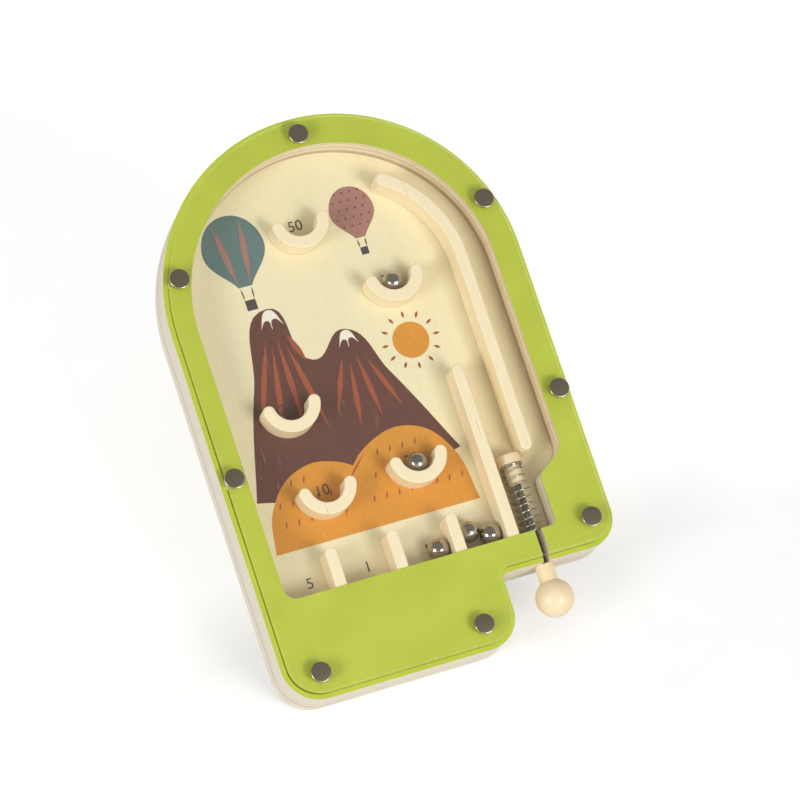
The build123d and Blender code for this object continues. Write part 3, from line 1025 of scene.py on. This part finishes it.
# %% Ball knob
knob_low, knob_high = board_box("plunger_knob")
knob_radius = (knob_high.x - knob_low.x) / 2
axis_x = (knob_low.x + knob_high.x) / 2
end_band = 0.1
neck_end = [point for point in board_points("plunger_knob") if point.y > knob_high.y - end_band]
neck_radius = max(point.x for point in neck_end) - axis_x
neck_round = 0.4
knob_rings = 48
axis_level = (knob_low.z + knob_high.z) / 2
knob_middle = knob_low.y + knob_radius
cut_height = math.sqrt(knob_radius**2 - neck_radius**2)
neck_length = knob_high.y - knob_middle - cut_height
bpy.ops.object.select_all(action="DESELECT")
bpy.ops.mesh.primitive_uv_sphere_add(
    segments=round_sides, ring_count=knob_rings, radius=knob_radius
)
knob = bpy.context.object
edit(knob)
bpy.ops.mesh.select_all(action="SELECT")
bpy.ops.mesh.bisect(plane_co=(0, 0, cut_height), plane_no=(0, 0, 1), clear_outer=True)
bpy.ops.mesh.select_mode(type="EDGE")
bpy.ops.mesh.select_all(action="DESELECT")
pick(knob, "edges", lambda edge: edge.is_boundary)
bpy.ops.mesh.extrude_edges_move(TRANSFORM_OT_translate={"value": (0, 0, neck_length)})
bpy.ops.mesh.edge_face_add()
bpy.ops.mesh.bevel(offset=neck_round, segments=round_steps, affect="EDGES")
bpy.ops.object.mode_set(mode="OBJECT")
knob.rotation_euler = (math.radians(-90), 0, 0)
knob.location = (axis_x, knob_middle, axis_level)
smooth(knob, degrees=50)
knob = join([knob], "ball_knob")
seat(knob)
tidy_mesh(knob, seated_gap)
dress(knob, turned_wood, "plunger", "turned_wood", "plunger_knob")

# %% [markdown]
# ## Spring
#
# A wound spring is a round wire that turns and climbs at once, which is what the
# Screw modifier does with a circle. Two turns at the striker's end lie wire on wire,
# the long middle is open, and one more close turn rests on the frame's wall. Each
# stretch is screwed by itself, starts where the last one ended, and is merged to it.

# %% Spring sizes
wire_radius = 0.3
coil_radius = (spring_high.x - spring_low.x) / 2 - wire_radius
spring_length = spring_high.y - spring_low.y
wire_gap = 0.06
close_pitch = 2 * wire_radius + wire_gap
wall_turns = 1
head_turns = 2
middle_turns = 9.25
all_turns = wall_turns + middle_turns + head_turns
middle_rise = spring_length - 2 * wire_radius - (wall_turns + head_turns) * close_pitch
print("spring", round(spring_length, 1), "mm long with", all_turns, "turns")

# %% Spring coils
wire_sides = 12
steps_per_turn = 32


def coil(turns, rise, first_turn, height):
    """A stretch of wire that starts at a turn and a height along the spring."""
    bpy.ops.object.select_all(action="DESELECT")
    bpy.ops.mesh.primitive_circle_add(
        vertices=wire_sides,
        radius=wire_radius,
        location=(coil_radius, 0, 0),
        rotation=(math.radians(90), 0, 0),
    )
    piece = bpy.context.object
    bpy.ops.object.transform_apply(location=True, rotation=True, scale=True)
    steps = round(steps_per_turn * turns)
    apply_modifier(
        piece,
        "SCREW",
        angle=math.tau * turns,
        screw_offset=rise,
        steps=steps,
        render_steps=steps,
    )
    piece.rotation_euler.z = math.tau * first_turn
    piece.location.z = height
    bpy.ops.object.transform_apply(location=True, rotation=True, scale=True)
    return piece


wall_rise = wall_turns * close_pitch
head_start = wire_radius + wall_rise + middle_rise
spring = join(
    [
        coil(wall_turns, wall_rise, 0, wire_radius),
        coil(middle_turns, middle_rise, wall_turns, wire_radius + wall_rise),
        coil(head_turns, head_turns * close_pitch, wall_turns + middle_turns, head_start),
    ],
    "wound_spring",
)
print("open turns rise", round(middle_rise / middle_turns, 2), "mm each")

# %% Spring on its rod
seam_gap = 0.01
tidy_mesh(spring, seam_gap)
edit(spring, "EDGE")
pick(spring, "edges", lambda edge: edge.is_boundary)
bpy.ops.mesh.fill_holes(sides=0)
bpy.ops.object.mode_set(mode="OBJECT")
spring.rotation_euler = (math.radians(-90), 0, 0)
spring.location = (axis_x, spring_low.y, axis_level)
smooth(spring, degrees=60)
seat(spring)
tidy_mesh(spring, seated_gap)
dress(spring, spring_wire, "board", "spring_wire", "plunger_spring")
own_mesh(spring)

# %% [markdown]
# ## Striker
#
# The striker is turned wood as well: a head that hits the ball, and a thinner spigot
# that sits inside the spring. That is the same form as a post, so the same helper makes
# it: a disc with a rounded front edge, and a stem pulled out behind.

# %% Striker
striker_low, striker_high = board_box("striker")
head_radius = (striker_high.x - striker_low.x) / 2
head_length = 4.6
spigot_end = [point for point in board_points("striker") if point.y < striker_low.y + end_band]
spigot_radius = max(point.x for point in spigot_end) - axis_x
spigot_length = striker_high.y - striker_low.y - head_length
striker_round = 0.8
striker = stemmed_disc(head_radius, head_length, spigot_radius, spigot_length, striker_round)
striker.rotation_euler = (math.radians(-90), 0, 0)
striker.location = (axis_x, striker_high.y - head_length / 2, axis_level)
striker = join([striker], "turned_striker")
seat(striker)
dress(striker, turned_wood, "plunger", "turned_wood", "striker")

# %% [markdown]
# ## Inks
#
# The playfield is printed with flat inks, thin enough for the grain to show. Each ink
# is a material of its own: its colour, darkened a little by the fibres below, with
# the wood's own relief. The layers are a few hundredths of a millimetre thick, so
# that balls roll over them freely.


# %% Ink recipe
ink_depth = 0.86
ink_gaps = 0.1
ink_relief = 0.00003


def ink(name, tone):
    """Printing ink on wood, with the grain showing through."""
    material, tree, shader, place = start_material(name)
    grain = use_group(
        tree, wood_fibre, place, Stretch=playfield_fibre, Fineness=playfield_fineness
    )
    deep = tuple(ink_depth * value for value in tone[:3]) + (1.0,)
    shown = blend_colours(tree, spread(tree, grain["Fibre"], 0.4, 0.85), tone, deep)
    thin = calculate(tree, "MULTIPLY", grain["Fleck"], ink_gaps)
    tree.links.new(blend_colours(tree, thin, shown, playfield_face), shader.inputs["Base Color"])
    tree.links.new(spread(tree, grain["Fibre"], 0.3, 0.8, 0.42, 0.54), shader.inputs["Roughness"])
    relief(tree, shader, grain["Fibre"], ink_relief)
    return material


inks = {
    "brown": ink("ink_brown", colour(101, 60, 46)),
    "rust": ink("ink_rust", colour(164, 84, 50)),
    "ochre": ink("ink_ochre", colour(222, 150, 46)),
    "teal": ink("ink_teal", colour(98, 124, 120)),
    "pink": ink("ink_pink", colour(168, 122, 108)),
    "cream": ink("ink_cream", colour(246, 238, 218)),
    "grey": ink("ink_grey", colour(78, 70, 70)),
}
ink_step = 0.012
prints = {name: [] for name in inks}
print(len(inks), "inks mixed")

# %% [markdown]
# ## Shapes to print
#
# A printed shape is a closed curve through a few given points, filled and
# made a thin mesh. Points where the outline turns sharply are named as corners, and
# the rest are smoothed by the curve itself. A stroke is the smallest such shape, a
# lens between its two ends, and a dot is a disc.


# %% Curves and strokes
curve_steps = 10


def shape(tone, layer, points, corners=()):
    """A filled outline through points, printed as the nth layer."""
    half = layer * ink_step / 2
    bpy.ops.object.select_all(action="DESELECT")
    bpy.ops.curve.primitive_bezier_circle_add(location=(0, 0, playfield_level + half))
    piece = bpy.context.object
    line = piece.data.splines[0]
    line.bezier_points.add(len(points) - len(line.bezier_points))
    for index, (x, y) in enumerate(points):
        knot = line.bezier_points[index]
        kind = "VECTOR" if index in corners else "AUTO"
        knot.handle_left_type = kind
        knot.handle_right_type = kind
        knot.co = (x, y, 0)
    piece.data.dimensions = "2D"
    piece.data.fill_mode = "BOTH"
    piece.data.resolution_u = curve_steps
    piece.data.extrude = half
    bpy.ops.object.convert(target="MESH")
    prints[tone].append(bpy.context.object)


def stroke(tone, layer, start, end, width):
    """A lens-shaped stroke from start to end."""
    start, end = Vector(start), Vector(end)
    middle = (start + end) / 2
    side = Vector((start.y - end.y, end.x - start.x)).normalized() * width / 2
    shape(tone, layer, (start, middle - side, end, middle + side), (0, 2))


print("curves take", curve_steps, "steps from point to point")


# %% Dots and directions
def disc(tone, layer, centre, radius, points=32):
    """A round dot."""
    thickness = layer * ink_step
    bpy.ops.object.select_all(action="DESELECT")
    bpy.ops.mesh.primitive_circle_add(
        vertices=points, radius=radius, fill_type="NGON", location=(*centre, playfield_level)
    )
    piece = bpy.context.object
    edit(piece)
    bpy.ops.mesh.select_all(action="SELECT")
    bpy.ops.mesh.extrude_region_move(TRANSFORM_OT_translate={"value": (0, 0, thickness)})
    bpy.ops.object.mode_set(mode="OBJECT")
    prints[tone].append(piece)


def polar(centre, radius, degrees):
    """The point at a distance and a direction from a centre."""
    angle = math.radians(degrees)
    return Vector((centre[0] + radius * math.cos(angle), centre[1] + radius * math.sin(angle)))


print("the point straight above (0, 0) is", tuple(round(v) for v in polar((0, 0), 1, 90)))

# %% [markdown]
# ## Mountains and fields
#
# The picture is a simple landscape. Two brown mountains with rust streaks down their
# flanks stand in the middle, with cream caps on their peaks. Two rounded ochre fields
# lie in front of them, one over the edge of the other, sown in rows of short strokes.
# Each shape is printed over the one behind it, as its layer number says.

# %% Mountains
left_peak = (-35, 4)
right_peak = (-4, -14)
shape(
    "brown",
    1,
    [(-67, -80), (-52, -30), left_peak, (-22, -24), right_peak, (10, -38), (30, -80), (-18, -90)],
    (0, 6),
)
left_flanks = ((-110, 14, 56), (-100, 17, 62), (-90, 14, 58), (-80, 17, 62), (-70, 14, 30))
right_flanks = ((-112, 13, 40), (-98, 16, 46), (-84, 13, 44), (-70, 16, 44))
for peak, flanks, width in ((left_peak, left_flanks, 2.6), (right_peak, right_flanks, 2.4)):
    for degrees, start, end in flanks:
        stroke("rust", 2, polar(peak, start, degrees), polar(peak, end, degrees), width)
snow_line = ((1.15, -122), (0.62, -106), (1.1, -92), (0.6, -76), (1.15, -58))
for peak, reach in ((left_peak, 9), (right_peak, 8)):
    ridge = [polar(peak, reach * share, degrees) for share, degrees in snow_line]
    shape("cream", 2, [Vector(peak) + Vector((0, -0.6)), *ridge], (1, 3, 5))
print("mountains have", sum(len(group) for group in prints.values()), "shapes")

# %% Sown fields
seed_gap = 6
seed_width = 0.9
seed_lean = Vector((1.2, 3.6))
row_shift = 2


def sow(layer, first, row_gap, rows):
    """Rows of short strokes, each row lower than the last."""
    for row, (left, right) in enumerate(rows):
        for column in range(left, right, seed_gap):
            seed = Vector((column + row_shift * row, first - row_gap * row))
            stroke("rust", layer, seed, seed + seed_lean, seed_width)


left_field = [(-66, -105), (-61, -85), (-46, -71), (-28, -71), (-12, -84), (-4, -105)]
right_field = [(-33, -105), (-26, -84), (-9, -67), (12, -65), (26, -79), (31, -105)]
shape("ochre", 3, left_field, (0, 5))
shape("ochre", 4, right_field, (0, 5))
for start, end in (((-30.6, -98), (-25.6, -84)), ((-25, -82.4), (-13, -70.6))):
    stroke("rust", 5, start, end, seed_width)
sow(4, -77, 9, ((-56, -38), (-60, -34), (-62, -36)))
sow(5, -74, 10, ((-8, 16), (-14, 22), (-20, 26)))
print("landscape has", sum(len(group) for group in prints.values()), "shapes")

# %% [markdown]
# ## Balloons and sun
#
# Two balloons float above the mountains, a teal one with pink gores on the left and a
# smaller pink one with dots on the right. The sun stands low on the right with a ring
# of short rays. All are drawn from a centre and a radius, so that they can be moved
# about while the layout is being tried.


# %% Balloons and sun
mouth_drop = 1.35
mouth_share = 0.22
rope_drop = 0.45
rope_width = 0.7
basket_share = 0.17
basket_drop = 0.78


def balloon(tone, gore, centre, radius):
    """A round balloon that narrows to its mouth, with gores, ropes and a basket."""
    x, y = centre
    mouth = y - mouth_drop * radius
    half_mouth = mouth_share * radius
    right_side = [(x + radius, y), (x + half_mouth, mouth)]
    left_side = [(x - half_mouth, mouth), (x - radius, y)]
    shape(tone, 1, [(x, y + radius), *right_side, *left_side], (2, 3))
    for side in (-1, 1):
        if gore:
            top = (x + side * 0.45 * radius, y + 0.8 * radius)
            stroke(gore, 2, top, (x + side * 0.2 * radius, mouth + 1), 0.2 * radius)
        rope_top = (x + side * 0.18 * radius, mouth - 0.3)
        rope_foot = (x + side * 0.15 * radius, mouth - rope_drop * radius)
        stroke("grey", 2, rope_top, rope_foot, rope_width)
    basket = basket_share * radius
    left, right = x - basket, x + basket
    bottom = mouth - basket_drop * radius
    top = bottom + 2 * basket
    corners = [(left, top), (right, top), (right, bottom), (left, bottom)]
    shape("grey", 2, corners, (0, 1, 2, 3))


balloon("teal", "pink", (-41, 36), 14.5)
dotted_centre = (17, 39)
balloon("pink", None, dotted_centre, 10.5)
dot_gap = 3.8
dot_rise = 4
for row in range(5):
    for column in range(-2, 2 + row % 2):
        along_row = dot_gap * (column + 0.5 * (1 - row % 2))
        dot = (dotted_centre[0] + along_row, dotted_centre[1] + dot_rise * (row - 2))
        disc("brown", 2, dot, 0.5, 12)
sun_centre = (24, -27)
disc("ochre", 1, sun_centre, 8.5, 64)
for degrees in range(0, 360, 30):
    stroke("rust", 1, polar(sun_centre, 10.5, degrees), polar(sun_centre, 14, degrees), 1.3)
print("picture has", sum(len(group) for group in prints.values()), "shapes")

# %% [markdown]
# ## Score numbers
#
# Plain numbers stand in the cups and bins. A text object is the quickest start. It is
# given a little thickness and turned into a mesh, and only then laid on the board.

# %% Score numbers
number_height = 7.0
number_layer = 6
bin_shift = 2.8
bin_rise = 6.9
left_rim = 11.8
cup_scores = ("50", "30", "20", "10", "20")
bin_scores = ("5", "1", "1", "5")
walls = [board_box("frame")[0].x + left_rim]
for name in [*dividers, "straight_rail"]:
    low, high = board_box(name)
    walls.append((low.x + high.x) / 2)
bin_row = board_box("divider_1")[0].y + bin_rise
bin_places = [((left + right) / 2 + bin_shift, bin_row) for left, right in zip(walls, walls[1:])]
cup_places = []
for name in cups:
    low, high = board_box(name)
    cup_places.append(((low.x + high.x) / 2, low.y + (high.x - low.x) / 2))


def score(words, place):
    """A number printed at a place."""
    half = number_layer * ink_step / 2
    bpy.ops.object.select_all(action="DESELECT")
    bpy.ops.object.text_add(location=(*place, playfield_level + half))
    piece = bpy.context.object
    piece.data.body = words
    piece.data.size = number_height
    piece.data.align_x = "CENTER"
    piece.data.align_y = "CENTER"
    piece.data.extrude = half
    bpy.ops.object.convert(target="MESH")
    prints["grey"].append(bpy.context.object)


for words, place in [*zip(cup_scores, cup_places), *zip(bin_scores, bin_places)]:
    score(words, place)
print(len(cup_scores), "numbers in cups and", len(bin_scores), "in bins")

# %% Laying the print on the board
for tone, pieces in prints.items():
    for piece in pieces:
        only(piece)
        bpy.ops.object.transform_apply(location=True, rotation=True, scale=True)
    layer = join(pieces, f"print_{tone}")
    tidy_mesh(layer)
    seat(layer)
    dress(layer, inks[tone], "board", "playfield_ply")

# %% [markdown]
# ## Floor, world and lamps
#
# The game stands on a plain white floor, lit by a bright, even room and two soft
# lamps in front, a stronger one on the right and a weaker one on the left. The lamps
# and the room together make about one unit of light, at which a colour renders as it
# is written. The floor shows white because its own colour is pale and camera rays add
# the rest, a little more of it behind the game, which leaves the game's soft shadow on
# it. Mirrored rays see a room that is bright near the floor and dim overhead, so that
# the cover stays clear while its edges, the balls and the caps catch the light.

# %% Floor
near_glow = 0.42
far_glow = 0.585
glow_starts = -0.075
glow_full = -0.03
floor_radius = 8
floor_drop = 0.0002
paper_light = colour(220, 220, 219)
paper_dark = colour(217, 217, 216)
paper_grit = 0.02
bpy.ops.object.select_all(action="DESELECT")
bpy.ops.mesh.primitive_circle_add(
    vertices=96, radius=floor_radius, fill_type="NGON", location=(0, 0, -floor_drop)
)
floor = bpy.context.object
floor.name = "studio_floor"
floor_paper, tree, shader, place = start_material("floor_paper")
paper = use_group(tree, film, place, Grit=paper_grit)
paper_mix = blend_colours(tree, paper["Cloud"], paper_light, paper_dark)
tree.links.new(paper_mix, shader.inputs["Base Color"])
shader.inputs["Roughness"].default_value = 0.9
shader.inputs["Specular IOR Level"].default_value = 0.1
shader.inputs["Emission Color"].default_value = white
rays = tree.nodes.new("ShaderNodeLightPath").outputs
seen = calculate(tree, "MAXIMUM", rays["Is Camera Ray"], rays["Is Transmission Ray"])
seen = calculate(tree, "MAXIMUM", seen, rays["Is Glossy Ray"])
own_place = tree.nodes.new("ShaderNodeTexCoord").outputs["Object"]
toward_back = split_place(tree, own_place)["Y"]
glow = spread(tree, toward_back, glow_starts, glow_full, near_glow, far_glow)
tree.links.new(calculate(tree, "MULTIPLY", seen, glow), shader.inputs["Emission Strength"])
floor.data.materials.append(floor_paper)
print("floor is", floor.name)

# %% World
room_light = 0.42
overhead_light = 0.25
dims_from = 0.2
dims_to = 0.6
room = bpy.data.worlds.new("studio_room")
room.use_nodes = True
bpy.context.scene.world = room
tree = room.node_tree
tree.nodes.clear()
rays = tree.nodes.new("ShaderNodeLightPath").outputs
seen = calculate(tree, "MAXIMUM", rays["Is Camera Ray"], rays["Is Transmission Ray"])
ray_way = tree.nodes.new("ShaderNodeTexCoord").outputs["Generated"]
ray_height = split_place(tree, ray_way)["Z"]
mirrored_light = spread(tree, ray_height, dims_from, dims_to, 1.0, overhead_light)
strength = spread(tree, seen, 0.0, 1.0, room_light, 1.0)
strength = spread(tree, rays["Is Glossy Ray"], 0.0, 1.0, strength, mirrored_light)
background = add_node(tree, "ShaderNodeBackground", Color=white, Strength=strength)
output = tree.nodes.new("ShaderNodeOutputWorld")
tree.links.new(background.outputs[0], output.inputs["Surface"])
print("room light", room_light, "and overhead in mirrors", overhead_light)

# %% Lamps
lamp_distance = 2.4
lamp_size = 0.92
lamp_side = 0.57
lamp_front = 0.662
lamp_up = 0.42
lamp_powers = {"right_lamp": (1, 26.2), "left_lamp": (-1, 23.2)}


def soft_lamp(name, side, power):
    """A square lamp in front of the game, to the left or right of the camera."""
    data = bpy.data.lights.new(name, "AREA")
    data.shape = "SQUARE"
    data.size = lamp_size
    data.energy = power
    lamp = bpy.data.objects.new(name, data)
    way = camera_right * side * lamp_side - toward_board * lamp_front + Vector((0, 0, lamp_up))
    lamp.location = way.normalized() * lamp_distance
    lamp.rotation_euler = way.to_track_quat("Z", "Y").to_euler()
    bpy.context.scene.collection.objects.link(lamp)


for name, (side, power) in lamp_powers.items():
    soft_lamp(name, side, power)
print(len(lamp_powers), "lamps", lamp_size, "m wide")
